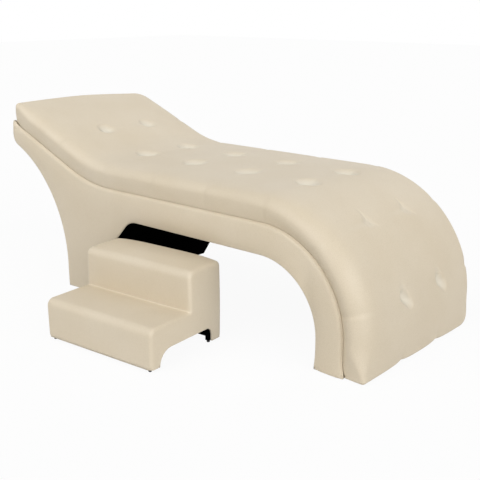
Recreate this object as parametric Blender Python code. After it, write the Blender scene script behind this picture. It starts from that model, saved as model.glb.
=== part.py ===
"""Upholstered eyelash extension bed with its two-step stool. Metres, +Z up.

The bed runs along X with its head at -X. Its side view is made of a deck line (raised head, flat seat,
foot that bends down to the floor), an arch that is open underneath, and a concave sweep behind the leg.
Every board and pad is cut from those three lines. The stool stands beside the arch and slides under it.
"""

import math

import bmesh
import bpy
from mathutils import Matrix, Vector

# Clearance between pieces that touch
GAP = 0.0003

# Bed: the deck line, which the mattress lies on
BED_WIDTH = 0.716
DECK_HEIGHT = 0.465
SEAT_LENGTH = 0.766
HEAD_SLOPE = math.radians(22.5)
HEAD_REACH = 0.613
NECK_RADIUS = 0.614
KNEE_RADIUS = 0.348

# Bed: the arch, open from side to side
APRON_DEPTH = 0.119
FOOT_LEG_DEPTH = 0.112
ARCH_FOOT_RADIUS = 0.240
ARCH_LEG_RADIUS = 0.085
ARCH_LEG_TURN = math.radians(47)

# Bed: the leg at the head end and the sweep behind it
LEG_SETBACK = 0.278
LEG_DEPTH = 0.123
LEG_CURVE_RADIUS = 2.0
BACK_RADIUS = 0.510
TIP_DEPTH = 0.0873
TIP_ROUNDING = 0.034

# Bed: boards, pads and timber
PANEL_THICKNESS = 0.018
DECK_THICKNESS = 0.009
LINING_THICKNESS = 0.004
BACK_BOARD_THICKNESS = 0.005
SIDE_PAD_THICKNESS = 0.024
SIDE_PAD_ROUNDING = 0.014
BACK_PAD_THICKNESS = 0.022
RAIL_THICKNESS = 0.022
RAIL_DEPTH = 0.060
HEAD_RAIL_DEPTH = 0.036
SOLE_THICKNESS = 0.018
GLIDE_HEIGHT = 0.004
GLIDE_DIAMETER = 0.024
GLIDE_INSET = 0.040
GLIDE_TAPER = 0.84

# Bed: where the rails cross
HEAD_RAIL_SETBACK = 0.060
NECK_RAIL_SETBACK = 0.040
SHOULDER_RAIL_X = 0.018
SEAT_RAIL_MARGIN = 0.050
KNEE_RAIL_ANGLE = math.radians(40)
BACK_RAIL_LOWER_ANGLE = math.radians(7.3)
BACK_RAIL_UPPER_ANGLE = math.radians(33.7)
LEG_RAIL_HEIGHT = 0.130

# Mattress
MATTRESS_THICKNESS = 0.086
MATTRESS_FOOT_THICKNESS = 0.080
MATTRESS_HEAD_INSET = 0.010
MATTRESS_HEAD_CUT = 0.220
MATTRESS_FLOOR_GAP = 0.008
MATTRESS_HEAD_CORNER = 0.055
MATTRESS_FOOT_CORNER = 0.024
MATTRESS_SHOULDER = 0.042
MATTRESS_RIM = 0.015
MATTRESS_DRAW_IN = 0.012
MATTRESS_END_SHOULDER = 0.020
MATTRESS_END_RIM = 0.007
MATTRESS_END_DRAW_IN = 0.005
MATTRESS_END_REACH = 0.140
MATTRESS_CROWN = 0.008
TUFT_ROWS = 7
TUFT_FIRST = 0.299
TUFT_SPACING = 0.272
TUFT_COLUMN_OFFSET = 0.1175
TUFT_DEPTH = 0.022
TUFT_SPREAD = 0.042
PLEAT_DEPTH = 0.004
PLEAT_SPREAD = 0.020

# Stool
STOOL_WIDTH = 0.490
STOOL_DEPTH = 0.366
STOOL_HEIGHT = 0.293
STOOL_STEP_HEIGHT = 0.153
STOOL_TREAD_DEPTH = 0.198
STOOL_BOARD_THICKNESS = 0.015
STOOL_PAD_THICKNESS = 0.010
STOOL_EDGE_ROUNDING = 0.016
STOOL_STEP_ROUNDING = 0.006
STOOL_RIM_ROUNDING = 0.009
STOOL_FRONT_LEG = 0.042
STOOL_REAR_LEG = 0.053
STOOL_ARCH_HEIGHT = 0.066
STOOL_ARCH_FRONT_RADIUS = 0.054
STOOL_ARCH_REAR_RADIUS = 0.030
STOOL_GLIDE_HEIGHT = 0.007
STOOL_GLIDE_DIAMETER = 0.013

# Where the stool stands: from the start of the flat seat, off the bed's near side, and turned a little
STOOL_CENTRE_X = 0.350
STOOL_STANDOFF = 0.002
STOOL_YAW = math.radians(4.5)

# Smoothness of the arcs, in steps
NECK_STEPS = 10
KNEE_STEPS = 20
ARCH_STEPS = 12
ARCH_LEG_STEPS = 7
LEG_STEPS = 6
SWEEP_STEPS = 20
CORNER_STEPS = 4
ROW_STEPS = 6
COLUMN_STEPS = 4
WALL_STEPS = 2

# Places worked out from the sizes above, with x = 0 where the flat seat starts
HALF_WIDTH = BED_WIDTH / 2
TIP_X = -HEAD_REACH
FOOT_FRONT_X = SEAT_LENGTH + KNEE_RADIUS
KNEE_Z = DECK_HEIGHT - KNEE_RADIUS
FOOT_INNER_X = FOOT_FRONT_X - FOOT_LEG_DEPTH
ARCH_HEIGHT = DECK_HEIGHT - APRON_DEPTH
LEG_BACK_X = -LEG_SETBACK
ARCH_LEG_Z = ARCH_HEIGHT - ARCH_LEG_RADIUS
LEG_CURVE_REACH = LEG_CURVE_RADIUS - ARCH_LEG_RADIUS
BASE_BOTTOM = GLIDE_HEIGHT + GAP
LEG_CURVE_Z = ARCH_LEG_Z - LEG_CURVE_REACH * math.cos(ARCH_LEG_TURN)
LEG_CURVE_X = LEG_BACK_X + LEG_DEPTH + math.sqrt(LEG_CURVE_RADIUS**2 - (BASE_BOTTOM - LEG_CURVE_Z) ** 2)
ARCH_FLAT_START = LEG_CURVE_X - LEG_CURVE_REACH * math.sin(ARCH_LEG_TURN)
SWEEP_CENTRE_X = LEG_BACK_X - BACK_RADIUS
DECK_INSET = GAP + DECK_THICKNESS
LINING_INSET = GAP + LINING_THICKNESS
BOARD_INSET = BACK_PAD_THICKNESS + GAP
BACK_INSET = BOARD_INSET + BACK_BOARD_THICKNESS + GAP
PANEL_OUTER_Y = HALF_WIDTH - SIDE_PAD_THICKNESS - GAP
RAIL_HALF_LENGTH = PANEL_OUTER_Y - PANEL_THICKNESS - GAP


# Scene and collection
for old in list(bpy.data.objects):
    bpy.data.objects.remove(old)
PARTS = bpy.data.collections.new("eyelash_extension_bed")
bpy.context.scene.collection.children.link(PARTS)


def holder(name, parent=None):
    """An empty that a group of pieces hangs on."""
    empty = bpy.data.objects.new(name, None)
    empty.parent = parent
    PARTS.objects.link(empty)
    return empty


SET = holder("bed_and_stool")
STOOL = holder("stool_place", SET)


def finish(name, srgb, roughness):
    """A Principled material of one screen colour."""
    material = bpy.data.materials.new(name)
    material.use_nodes = True
    linear = [(c / 255 / 12.92) if c <= 10 else ((c / 255 + 0.055) / 1.055) ** 2.4 for c in srgb]
    shader = material.node_tree.nodes["Principled BSDF"]
    shader.inputs["Base Color"].default_value = (*linear, 1)
    shader.inputs["Roughness"].default_value = roughness
    shader.inputs["Metallic"].default_value = 0
    return material


CREAM = finish("cream_synthetic_leather", (216, 204, 184), 0.55)
PLY = finish("birch_plywood", (205, 176, 132), 0.7)
PINE = finish("pine_timber", (214, 182, 128), 0.75)
BLACK_LINING = finish("black_faced_hardboard", (18, 18, 19), 0.9)
BLACK_BOARD = finish("black_stained_plywood", (24, 23, 22), 0.85)
NYLON = finish("black_nylon", (16, 16, 17), 0.45)


# Outlines and solids
def arc(centre, radius, start, end, steps):
    """Points on a circle from one angle to another, both ends included."""
    angles = [start + (end - start) * i / steps for i in range(steps + 1)]
    return [(centre[0] + radius * math.cos(a), centre[1] + radius * math.sin(a)) for a in angles]


def rounded(corners, steps=CORNER_STEPS):
    """A closed outline from (x, z, radius) corners, with an arc at each corner that has a radius."""
    outline = []
    for i, (x, z, radius) in enumerate(corners):
        corner = Vector((x, z))
        before = (Vector(corners[i - 1][:2]) - corner).normalized()
        after = (Vector(corners[(i + 1) % len(corners)][:2]) - corner).normalized()
        if radius == 0:
            outline.append((x, z))
            continue
        half = before.angle(after) / 2
        centre = corner + (before + after).normalized() * radius / math.sin(half)
        first = corner + before * radius / math.tan(half) - centre
        last = corner + after * radius / math.tan(half) - centre
        turn = first.angle_signed(last)
        for k in range(steps + 1):
            outline.append(tuple(centre + Matrix.Rotation(-turn * k / steps, 2) @ first))
    return outline


def placed(name, data, material, parent):
    """A new object of the collection, hung on its holder."""
    obj = bpy.data.objects.new(name, data)
    obj.parent = parent
    data.materials.append(material)
    PARTS.objects.link(obj)
    return obj


def flat_piece(name, outline, low, high, material, along="Y", parent=SET):
    """A flat outline, drawn in the plane across the given axis and as thick as low to high on it."""
    curve = bpy.data.curves.new(name, "CURVE")
    curve.dimensions = "2D"
    curve.fill_mode = "BOTH"
    curve.extrude = (high - low) / 2
    spline = curve.splines.new("POLY")
    spline.points.add(len(outline) - 1)
    for point, (x, z) in zip(spline.points, outline):
        point.co = (x, z, 0, 1)
    spline.use_cyclic_u = True
    obj = placed(name, curve, material, parent)
    obj.rotation_euler = (math.pi / 2, 0, math.pi / 2 if along == "X" else 0)
    obj.location["XYZ".index(along)] = (low + high) / 2
    return obj


def padded_piece(name, outline, low, high, rounding, outer_is_high, along="Y", parent=SET):
    """A flat piece whose outer face rolls over into its edges, as foam does under a tight cover."""
    flat = flat_piece(name + "_outline", outline, low, high, CREAM, along, parent)
    graph = bpy.context.evaluated_depsgraph_get()
    mesh = bpy.data.meshes.new_from_object(flat.evaluated_get(graph))
    bm = bmesh.new()
    bm.from_mesh(mesh)
    bmesh.ops.remove_doubles(bm, verts=bm.verts, dist=1e-5)
    bmesh.ops.recalc_face_normals(bm, faces=bm.faces)
    bmesh.ops.dissolve_limit(bm, angle_limit=math.radians(0.5), verts=bm.verts, edges=bm.edges)
    # The curve's own Z runs against Y and along X, so the outer face is found by that sign.
    outward = 1 if outer_is_high == (along == "X") else -1
    outer = max(bm.faces, key=lambda face: outward * face.normal.z * face.calc_area())
    bmesh.ops.bevel(
        bm, geom=list(outer.edges), offset=rounding, segments=3, profile=0.5, affect="EDGES"
    )
    mesh.clear_geometry()
    bm.to_mesh(mesh)
    bm.free()
    mesh.shade_smooth()
    mesh.set_sharp_from_angle(angle=math.radians(40))
    mesh.materials.clear()
    pad = placed(name, mesh, CREAM, parent)
    pad.rotation_euler = flat.rotation_euler
    pad.location = flat.location
    bpy.data.objects.remove(flat)
    return pad


def block(name, low, high, material, parent=SET):
    """A board between two corners."""
    mesh = bpy.data.meshes.new(name)
    bm = bmesh.new()
    size = Vector(high) - Vector(low)
    bmesh.ops.create_cube(bm, size=1, matrix=Matrix.Diagonal((*size, 1)))
    bm.to_mesh(mesh)
    bm.free()
    obj = placed(name, mesh, material, parent)
    obj.location = (Vector(low) + Vector(high)) / 2
    return obj


def rail(name, seat, slope, depth):
    """A timber across the bed: its upper face is centred on seat, in a plane that falls by slope to +X."""
    half = RAIL_THICKNESS / 2
    low = (-half, -RAIL_HALF_LENGTH, -depth)
    timber = block(name, low, (half, RAIL_HALF_LENGTH, 0), PINE)
    down = Vector((-math.sin(slope), 0, -math.cos(slope)))
    timber.location = Vector((seat[0], 0, seat[1])) + down * depth / 2
    timber.rotation_euler.y = slope
    return timber


def glide(name, x, y, height, diameter, parent):
    """A nail-on glide: a low turned foot, a little narrower at the floor."""
    radius = diameter / 2
    mesh = bpy.data.meshes.new(name)
    bm = bmesh.new()
    bmesh.ops.create_cone(
        bm, cap_ends=True, segments=20, radius1=radius * GLIDE_TAPER, radius2=radius, depth=height
    )
    bm.to_mesh(mesh)
    bm.free()
    mesh.shade_smooth()
    mesh.set_sharp_from_angle(angle=math.radians(40))
    obj = placed(name, mesh, NYLON, parent)
    obj.location = (x, y, height / 2)
    return obj


# The three lines of the side view, each taken at an inset into the base
def slope_z(x, inset):
    """Height of the sloping head part of the deck line, at an inset below it."""
    run = -NECK_RADIUS * math.sin(HEAD_SLOPE) - x
    rise = NECK_RADIUS * (1 - math.cos(HEAD_SLOPE)) - inset / math.cos(HEAD_SLOPE)
    return DECK_HEIGHT + rise + run * math.tan(HEAD_SLOPE)


def deck_line(inset, start_x):
    """From the head end down the slope, along the seat and over the knee to the floor."""
    neck = (0, DECK_HEIGHT + NECK_RADIUS)
    knee = (SEAT_LENGTH, KNEE_Z)
    down = -math.pi / 2
    line = [(start_x, slope_z(start_x, inset))]
    line += arc(neck, NECK_RADIUS + inset, down - HEAD_SLOPE, down, NECK_STEPS)
    line += arc(knee, KNEE_RADIUS - inset, math.pi / 2, 0, KNEE_STEPS)
    return line + [(FOOT_FRONT_X - inset, BASE_BOTTOM)]


def leg_lean(z):
    """How far the leg's inner edge leans from upright."""
    return math.asin((z - LEG_CURVE_Z) / LEG_CURVE_RADIUS)


def leg_inner_x(z, inset):
    """The gently curved inner edge of the leg, which leans to the head as it comes down."""
    return LEG_CURVE_X - math.sqrt((LEG_CURVE_RADIUS + inset) ** 2 - (z - LEG_CURVE_Z) ** 2)


def arch_line(inset):
    """From the foot's inner edge over the arch to the leg's inner edge."""
    foot = (FOOT_INNER_X - ARCH_FOOT_RADIUS, ARCH_HEIGHT - ARCH_FOOT_RADIUS)
    crown = math.pi / 2
    turn = crown + ARCH_LEG_TURN
    leg_radius = LEG_CURVE_RADIUS + inset
    floor = math.pi - math.asin((BASE_BOTTOM - LEG_CURVE_Z) / leg_radius)
    line = [(FOOT_INNER_X + inset, BASE_BOTTOM)]
    line += arc(foot, ARCH_FOOT_RADIUS + inset, 0, crown, ARCH_STEPS)
    line += arc((ARCH_FLAT_START, ARCH_LEG_Z), ARCH_LEG_RADIUS + inset, crown, turn, ARCH_LEG_STEPS)
    return line + arc((LEG_CURVE_X, LEG_CURVE_Z), leg_radius, turn, floor, LEG_STEPS)[1:]


def sweep_end(inset):
    """Angle at which the sweep meets the upright face of the tip."""
    return math.acos((TIP_X + inset - SWEEP_CENTRE_X) / (BACK_RADIUS + inset))


# The back of the leg is upright up to this height, where the sweep starts.
LEG_UPRIGHT = slope_z(TIP_X, 0) - TIP_DEPTH - BACK_RADIUS * math.sin(sweep_end(0))


def sweep_point(angle, inset):
    radius = BACK_RADIUS + inset
    return (SWEEP_CENTRE_X + radius * math.cos(angle), LEG_UPRIGHT + radius * math.sin(angle))


def back_line(inset, rounding=0):
    """From the floor up the leg and the concave sweep to the tip of the head end."""
    end = sweep_end(inset)
    stop = end - rounding / BACK_RADIUS
    step = sweep_end(0) / SWEEP_STEPS
    angles = [step * i for i in range(SWEEP_STEPS + 1)]
    line = [(LEG_BACK_X + inset, BASE_BOTTOM)]
    line += [sweep_point(a, inset) for a in angles if a + step / 2 < stop]
    corner = Vector(sweep_point(end, inset))
    if rounding == 0:
        return line + [tuple(corner)]
    first = Vector(sweep_point(stop, inset))
    last = corner + Vector((0, rounding))
    for k in range(CORNER_STEPS + 1):
        t = k / CORNER_STEPS
        line.append(tuple(first * (1 - t) ** 2 + corner * 2 * t * (1 - t) + last * t**2))
    return line


# Base: sides, deck, boards and lining
base_outline = deck_line(0, TIP_X) + arch_line(LINING_INSET) + back_line(0, TIP_ROUNDING)
panel_outline = deck_line(DECK_INSET, TIP_X + BACK_INSET) + arch_line(LINING_INSET) + back_line(BACK_INSET)
PANEL_INNER_Y = PANEL_OUTER_Y - PANEL_THICKNESS
flat_piece("side_panel_near", panel_outline, -PANEL_OUTER_Y, -PANEL_INNER_Y, PLY)
flat_piece("side_panel_far", panel_outline, PANEL_INNER_Y, PANEL_OUTER_Y, PLY)

PAD_INNER_Y = HALF_WIDTH - SIDE_PAD_THICKNESS
padded_piece("side_pad_near", base_outline, -HALF_WIDTH, -PAD_INNER_Y, SIDE_PAD_ROUNDING, False)
padded_piece("side_pad_far", base_outline, PAD_INNER_Y, HALF_WIDTH, SIDE_PAD_ROUNDING, True)

deck_start = TIP_X + BACK_PAD_THICKNESS + GAP
deck_outline = deck_line(0, deck_start) + deck_line(DECK_THICKNESS, deck_start)[::-1]
flat_piece("deck_panel", deck_outline, -PANEL_OUTER_Y, PANEL_OUTER_Y, PLY)

lining_outline = arch_line(0) + arch_line(LINING_THICKNESS)[::-1]
lining_reach = HALF_WIDTH - SIDE_PAD_ROUNDING
flat_piece("arch_lining", lining_outline, -lining_reach, lining_reach, BLACK_LINING)

board_inner = back_line(BOARD_INSET + BACK_BOARD_THICKNESS)
board_outline = back_line(BOARD_INSET)[:-1] + board_inner[:-1][::-1]
flat_piece("back_board", board_outline, -PANEL_OUTER_Y, PANEL_OUTER_Y, PLY)

pad_inner_x = TIP_X + BACK_PAD_THICKNESS
back_pad_outline = back_line(0, TIP_ROUNDING) + [(TIP_X, slope_z(TIP_X, 0))]
back_pad_outline += [(pad_inner_x, slope_z(pad_inner_x, 0))] + back_line(BACK_PAD_THICKNESS)[::-1]
flat_piece("back_pad", back_pad_outline, -PANEL_OUTER_Y, PANEL_OUTER_Y, CREAM)

# Base: timber rails, each seated on the deck, the lining or the back board
RAIL_SEAT = DECK_INSET
slope_top = -NECK_RADIUS * math.sin(HEAD_SLOPE)
head_x = TIP_X + HEAD_RAIL_SETBACK
neck_x = slope_top - NECK_RAIL_SETBACK
rail("head_rail", (head_x, slope_z(head_x, RAIL_SEAT)), HEAD_SLOPE, HEAD_RAIL_DEPTH)
rail("neck_rail", (neck_x, slope_z(neck_x, RAIL_SEAT)), HEAD_SLOPE, RAIL_DEPTH)
rail("shoulder_rail", (SHOULDER_RAIL_X, DECK_HEIGHT - RAIL_SEAT), 0, RAIL_DEPTH)

arch_flat_end = FOOT_INNER_X - ARCH_FOOT_RADIUS
seat_rail_first = ARCH_FLAT_START + SEAT_RAIL_MARGIN
seat_rail_last = min(arch_flat_end, SEAT_LENGTH) - SEAT_RAIL_MARGIN
seat_rail_depth = APRON_DEPTH - DECK_INSET - LINING_INSET
for i, place in enumerate(("head", "mid", "foot")):
    x = seat_rail_first + (seat_rail_last - seat_rail_first) * i / 2
    rail("seat_rail_" + place, (x, DECK_HEIGHT - RAIL_SEAT), 0, seat_rail_depth)

knee_sag = (KNEE_RADIUS - RAIL_SEAT) * (1 - math.cos(math.pi / 2 / KNEE_STEPS))
knee_seat = KNEE_RADIUS - RAIL_SEAT - knee_sag
knee_place = (
    SEAT_LENGTH + knee_seat * math.sin(KNEE_RAIL_ANGLE),
    KNEE_Z + knee_seat * math.cos(KNEE_RAIL_ANGLE),
)
rail("knee_rail", knee_place, KNEE_RAIL_ANGLE, RAIL_DEPTH)

for place, angle in (("lower", BACK_RAIL_LOWER_ANGLE), ("upper", BACK_RAIL_UPPER_ANGLE)):
    sag = RAIL_THICKNESS**2 / BACK_RADIUS
    seat = sweep_point(angle, BACK_INSET + sag)
    rail("back_rail_" + place, seat, -math.pi / 2 - angle, RAIL_DEPTH)

leg_seat = (leg_inner_x(LEG_RAIL_HEIGHT, LINING_INSET), LEG_RAIL_HEIGHT)
rail("leg_rail", leg_seat, math.pi / 2 + leg_lean(LEG_RAIL_HEIGHT), RAIL_DEPTH)

# Base: soles of the two feet, with their glides
sole_top = BASE_BOTTOM + SOLE_THICKNESS
leg_sole_low = LEG_BACK_X + BACK_INSET
leg_sole_high = leg_inner_x(BASE_BOTTOM, LINING_INSET)
foot_sole_low = FOOT_INNER_X + LINING_INSET
foot_sole_high = FOOT_FRONT_X - DECK_INSET
soles = {"leg_sole": (leg_sole_low, leg_sole_high), "foot_sole": (foot_sole_low, foot_sole_high)}
for name, (low_x, high_x) in soles.items():
    low = (low_x, -RAIL_HALF_LENGTH, BASE_BOTTOM)
    block(name, low, (high_x, RAIL_HALF_LENGTH, sole_top), PINE)

glide_y = RAIL_HALF_LENGTH - GLIDE_INSET
glide_places = {
    "leg_glide_": (leg_sole_low + leg_sole_high) / 2,
    "foot_glide_": (foot_sole_low + foot_sole_high) / 2,
}
for side, y in (("near", -glide_y), ("far", glide_y)):
    for name, x in glide_places.items():
        glide(name + side, x, y, GLIDE_HEIGHT, GLIDE_DIAMETER, SET)

# Mattress: one tufted cushion that follows the deck line. Its length is measured along its upper face.
knee_thickness = (MATTRESS_THICKNESS + MATTRESS_FOOT_THICKNESS) / 2
mattress_head_x = TIP_X + MATTRESS_HEAD_INSET
slope_length = (slope_top - mattress_head_x) / math.cos(HEAD_SLOPE)
neck_length = (NECK_RADIUS - MATTRESS_THICKNESS) * HEAD_SLOPE
knee_length = (KNEE_RADIUS + knee_thickness) * math.pi / 2
shin_length = KNEE_Z - MATTRESS_FLOOR_GAP
neck_end = slope_length + neck_length
seat_end = neck_end + SEAT_LENGTH
knee_end = seat_end + knee_length
MATTRESS_LENGTH = knee_end + shin_length


def deck_frame(s):
    """Point of the deck line under length s, the way out of it, and the thickness of the mattress there."""
    if s < neck_end:
        angle = HEAD_SLOPE * min(1, (neck_end - s) / neck_length)
        rest = max(0, slope_length - s)
        x = -NECK_RADIUS * math.sin(angle) - rest * math.cos(angle)
        z = DECK_HEIGHT + NECK_RADIUS * (1 - math.cos(angle)) + rest * math.sin(angle)
        # The end of the cushion is cut upright, so the way out of the deck turns upright towards it.
        lean = angle * min(1, s / MATTRESS_HEAD_CUT)
        return (x, z), (math.sin(lean), math.cos(lean)), MATTRESS_THICKNESS
    if s < seat_end:
        return (s - neck_end, DECK_HEIGHT), (0, 1), MATTRESS_THICKNESS
    part = min(1, (s - seat_end) / knee_length)
    angle = part * math.pi / 2
    x = SEAT_LENGTH + KNEE_RADIUS * math.sin(angle)
    z = KNEE_Z + KNEE_RADIUS * math.cos(angle) - max(0, s - knee_end)
    thickness = MATTRESS_THICKNESS + (MATTRESS_FOOT_THICKNESS - MATTRESS_THICKNESS) * part
    return (x, z), (math.sin(angle), math.cos(angle)), thickness


def stops(marks, counts):
    """Values from the first mark to the last, with a number of steps between each two marks."""
    line = [marks[0]]
    for low, high, count in zip(marks, marks[1:], counts):
        line += [low + (high - low) * (i + 1) / count for i in range(count)]
    return line


tuft_rows = [TUFT_FIRST + TUFT_SPACING * row for row in range(TUFT_ROWS)]
tufts = [(s, y) for s in tuft_rows for y in (-TUFT_COLUMN_OFFSET, TUFT_COLUMN_OFFSET)]
length_marks = [0, MATTRESS_END_RIM, MATTRESS_END_SHOULDER, *tuft_rows]
length_marks += [MATTRESS_LENGTH - inset for inset in (MATTRESS_END_SHOULDER, MATTRESS_END_RIM, 0)]
length_counts = [1, 1, ROW_STEPS - 1] + [ROW_STEPS] * (TUFT_ROWS - 1) + [ROW_STEPS - 2, 1, 1]
half_marks = [HALF_WIDTH - inset for inset in (MATTRESS_SHOULDER, MATTRESS_RIM, 0)]
half_marks.insert(0, TUFT_COLUMN_OFFSET)
cross_marks = [-y for y in half_marks[::-1]] + half_marks
lengthwise = stops(length_marks, length_counts)
crosswise = stops(cross_marks, [1, 1, COLUMN_STEPS, COLUMN_STEPS, COLUMN_STEPS, 1, 1])
knee_step = max(b - a for a, b in zip(lengthwise, lengthwise[1:])) / (KNEE_RADIUS + knee_thickness)
bottom_clear = GAP + KNEE_RADIUS * (1 - math.cos(knee_step / 2))


def shoulder_fall(inset, radius):
    """How far a rounded shoulder has come down at an inset from the edge it rolls over."""
    into = max(0, radius - inset)
    return radius - math.sqrt(radius**2 - into**2)


def mattress_point(i, j, k):
    """Where a point of the cushion's grid lies: i along it, j across it, k up its side."""
    s, y = lengthwise[i], crosswise[j]
    from_end = min(s, MATTRESS_LENGTH - s)
    from_side = HALF_WIDTH - abs(y)
    edge = min(from_end, from_side)
    # The four corners are rounded in plan.
    radius = MATTRESS_HEAD_CORNER if s < MATTRESS_LENGTH / 2 else MATTRESS_FOOT_CORNER
    a = radius - from_end
    b = radius - from_side
    if a > 0 and b > 0:
        pull = max(a, b) / math.hypot(a, b)
        s += math.copysign(a * (1 - pull), MATTRESS_LENGTH / 2 - s)
        y -= math.copysign(b * (1 - pull), y)
    level = k / WALL_STEPS
    nearest = min(abs(s - row) for row in tuft_rows)
    pleat = PLEAT_DEPTH * math.exp(-((nearest / PLEAT_SPREAD) ** 2))
    # The side is drawn in towards the deck, and a pleat nips it at each row.
    if edge == 0:
        inward = (1 - level) ** 2
        if from_side == 0:
            y -= math.copysign(MATTRESS_DRAW_IN * inward + pleat * level / 2, y)
        if from_end == 0:
            s += math.copysign(MATTRESS_END_DRAW_IN * inward, MATTRESS_LENGTH / 2 - s)
    (x, z), (out_x, out_z), thickness = deck_frame(s)
    # The broad shoulders of the sides tighten towards the two ends.
    share = min(1, from_end / MATTRESS_END_REACH)
    shoulder = MATTRESS_END_SHOULDER + (MATTRESS_SHOULDER - MATTRESS_END_SHOULDER) * share
    fall = max(shoulder_fall(from_side, shoulder), shoulder_fall(from_end, MATTRESS_END_SHOULDER))
    height = thickness - fall
    if k < WALL_STEPS:
        height = bottom_clear + (height - bottom_clear) * level
    elif edge > 0:
        height += MATTRESS_CROWN * (1 - (y / HALF_WIDTH) ** 2)
        height -= sum(
            TUFT_DEPTH * math.exp(-((s - row) ** 2 + (y - column) ** 2) / TUFT_SPREAD**2)
            for row, column in tufts
        )
        if abs(y) > TUFT_COLUMN_OFFSET:
            height -= pleat
    return (x + out_x * height, y, z + out_z * height)


def tufted_cushion(name):
    """A cube cut into the cushion's grid, then every point moved to its place."""
    counts = (len(lengthwise) - 1, len(crosswise) - 1, WALL_STEPS)
    bm = bmesh.new()
    bmesh.ops.create_cube(bm, size=1)
    for axis, count in enumerate(counts):
        along = [e for e in bm.edges if abs(e.verts[0].co[axis] - e.verts[1].co[axis]) > 0.5]
        bmesh.ops.subdivide_edges(bm, edges=along, cuts=count - 1, use_grid_fill=True)
    # The underside is flat across, so one strip from side to side does between each two cross lines.
    under = {f for f in bm.faces if f.normal.z < -0.5}
    inner = [e for e in bm.edges if under.issuperset(e.link_faces)]
    inner = [e for e in inner if abs(e.verts[0].co.y - e.verts[1].co.y) < 1e-6]
    bmesh.ops.dissolve_edges(bm, edges=inner, use_verts=True)
    for vert in bm.verts:
        vert.co = mattress_point(*[round((vert.co[axis] + 0.5) * counts[axis]) for axis in range(3)])
    bmesh.ops.recalc_face_normals(bm, faces=bm.faces)
    mesh = bpy.data.meshes.new(name)
    bm.to_mesh(mesh)
    bm.free()
    mesh.shade_smooth()
    return placed(name, mesh, CREAM, SET)


tufted_cushion("mattress")

# Stool, in its own frame: x = 0 at its middle, y = 0 at its back, front at -Y
STOOL_BOTTOM = STOOL_GLIDE_HEIGHT + GAP
stool_front = -STOOL_DEPTH
stool_step = stool_front + STOOL_TREAD_DEPTH
stool_half = STOOL_WIDTH / 2
stool_pad_inner = stool_half - STOOL_PAD_THICKNESS
stool_side_outer = stool_pad_inner - GAP
stool_side_inner = stool_side_outer - STOOL_BOARD_THICKNESS
stool_board_half = stool_side_inner - GAP


def stair(inset, edge, step):
    """The stool's stepped outline from the front floor to the back floor, at an inset from its cover."""
    low = STOOL_STEP_HEIGHT - inset
    high = STOOL_HEIGHT - inset
    return [
        (stool_front + inset, STOOL_BOTTOM, 0),
        (stool_front + inset, low, edge),
        (stool_step + inset, low, step),
        (stool_step + inset, high, edge),
        (-inset, high, edge),
        (-inset, STOOL_BOTTOM, 0),
    ]


stool_arch = [
    (-STOOL_REAR_LEG, STOOL_BOTTOM, 0),
    (-STOOL_REAR_LEG, STOOL_ARCH_HEIGHT, STOOL_ARCH_REAR_RADIUS),
    (stool_front + STOOL_FRONT_LEG, STOOL_ARCH_HEIGHT, STOOL_ARCH_FRONT_RADIUS),
    (stool_front + STOOL_FRONT_LEG, STOOL_BOTTOM, 0),
]
side_pad_outline = rounded(stair(0, STOOL_EDGE_ROUNDING, STOOL_STEP_ROUNDING) + stool_arch)
side_outline = rounded(stair(STOOL_PAD_THICKNESS + GAP, 0, 0) + stool_arch)
for side, sign in (("left", -1), ("right", 1)):
    pad_low, pad_high = sorted((sign * stool_pad_inner, sign * stool_half))
    pad_name = "stool_side_pad_" + side
    padded_piece(pad_name, side_pad_outline, pad_low, pad_high, STOOL_RIM_ROUNDING, sign > 0, "X", STOOL)
    board_low, board_high = sorted((sign * stool_side_inner, sign * stool_side_outer))
    flat_piece("stool_side_" + side, side_outline, board_low, board_high, BLACK_BOARD, "X", STOOL)

step_outer = stair(0, STOOL_EDGE_ROUNDING, STOOL_STEP_ROUNDING)
step_inner = stair(STOOL_PAD_THICKNESS, 0, 0)
step_pad_outline = rounded(step_outer + step_inner[::-1])
flat_piece("stool_step_pad", step_pad_outline, -stool_side_outer, stool_side_outer, CREAM, "X", STOOL)

board = STOOL_BOARD_THICKNESS
cover = STOOL_PAD_THICKNESS + GAP
low_tread_top = STOOL_STEP_HEIGHT - cover
high_tread_top = STOOL_HEIGHT - cover
riser_y = stool_front + cover
upper_y = stool_step + cover
stool_boards = {
    "stool_lower_riser": (riser_y, riser_y + board, STOOL_BOTTOM, low_tread_top - board - GAP),
    "stool_lower_tread": (riser_y, upper_y - GAP, low_tread_top - board, low_tread_top),
    "stool_upper_riser": (upper_y, upper_y + board, low_tread_top - board, high_tread_top - board - GAP),
    "stool_upper_tread": (upper_y, -cover, high_tread_top - board, high_tread_top),
    "stool_back": (-cover - board, -cover, STOOL_BOTTOM, high_tread_top - board - GAP),
}
for name, (y_low, y_high, z_low, z_high) in stool_boards.items():
    low = (-stool_board_half, y_low, z_low)
    block(name, low, (stool_board_half, y_high, z_high), BLACK_BOARD, STOOL)

stool_glide_radius = STOOL_GLIDE_DIAMETER / 2
stool_glide_x = stool_side_outer - stool_glide_radius
front_glide_y = riser_y + stool_glide_radius
rear_glide_y = stool_glide_radius - STOOL_REAR_LEG
for side, x in (("left", -stool_glide_x), ("right", stool_glide_x)):
    for place, y in (("front", front_glide_y), ("rear", rear_glide_y)):
        glide(f"stool_glide_{place}_{side}", x, y, STOOL_GLIDE_HEIGHT, STOOL_GLIDE_DIAMETER, STOOL)

# The stool stands off the bed's near side by its nearest corner, turned a little about its back edge.
STOOL.rotation_euler.z = STOOL_YAW
STOOL.location.x = STOOL_CENTRE_X
STOOL.location.y = -HALF_WIDTH - STOOL_STANDOFF - stool_half * math.sin(STOOL_YAW)

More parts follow.
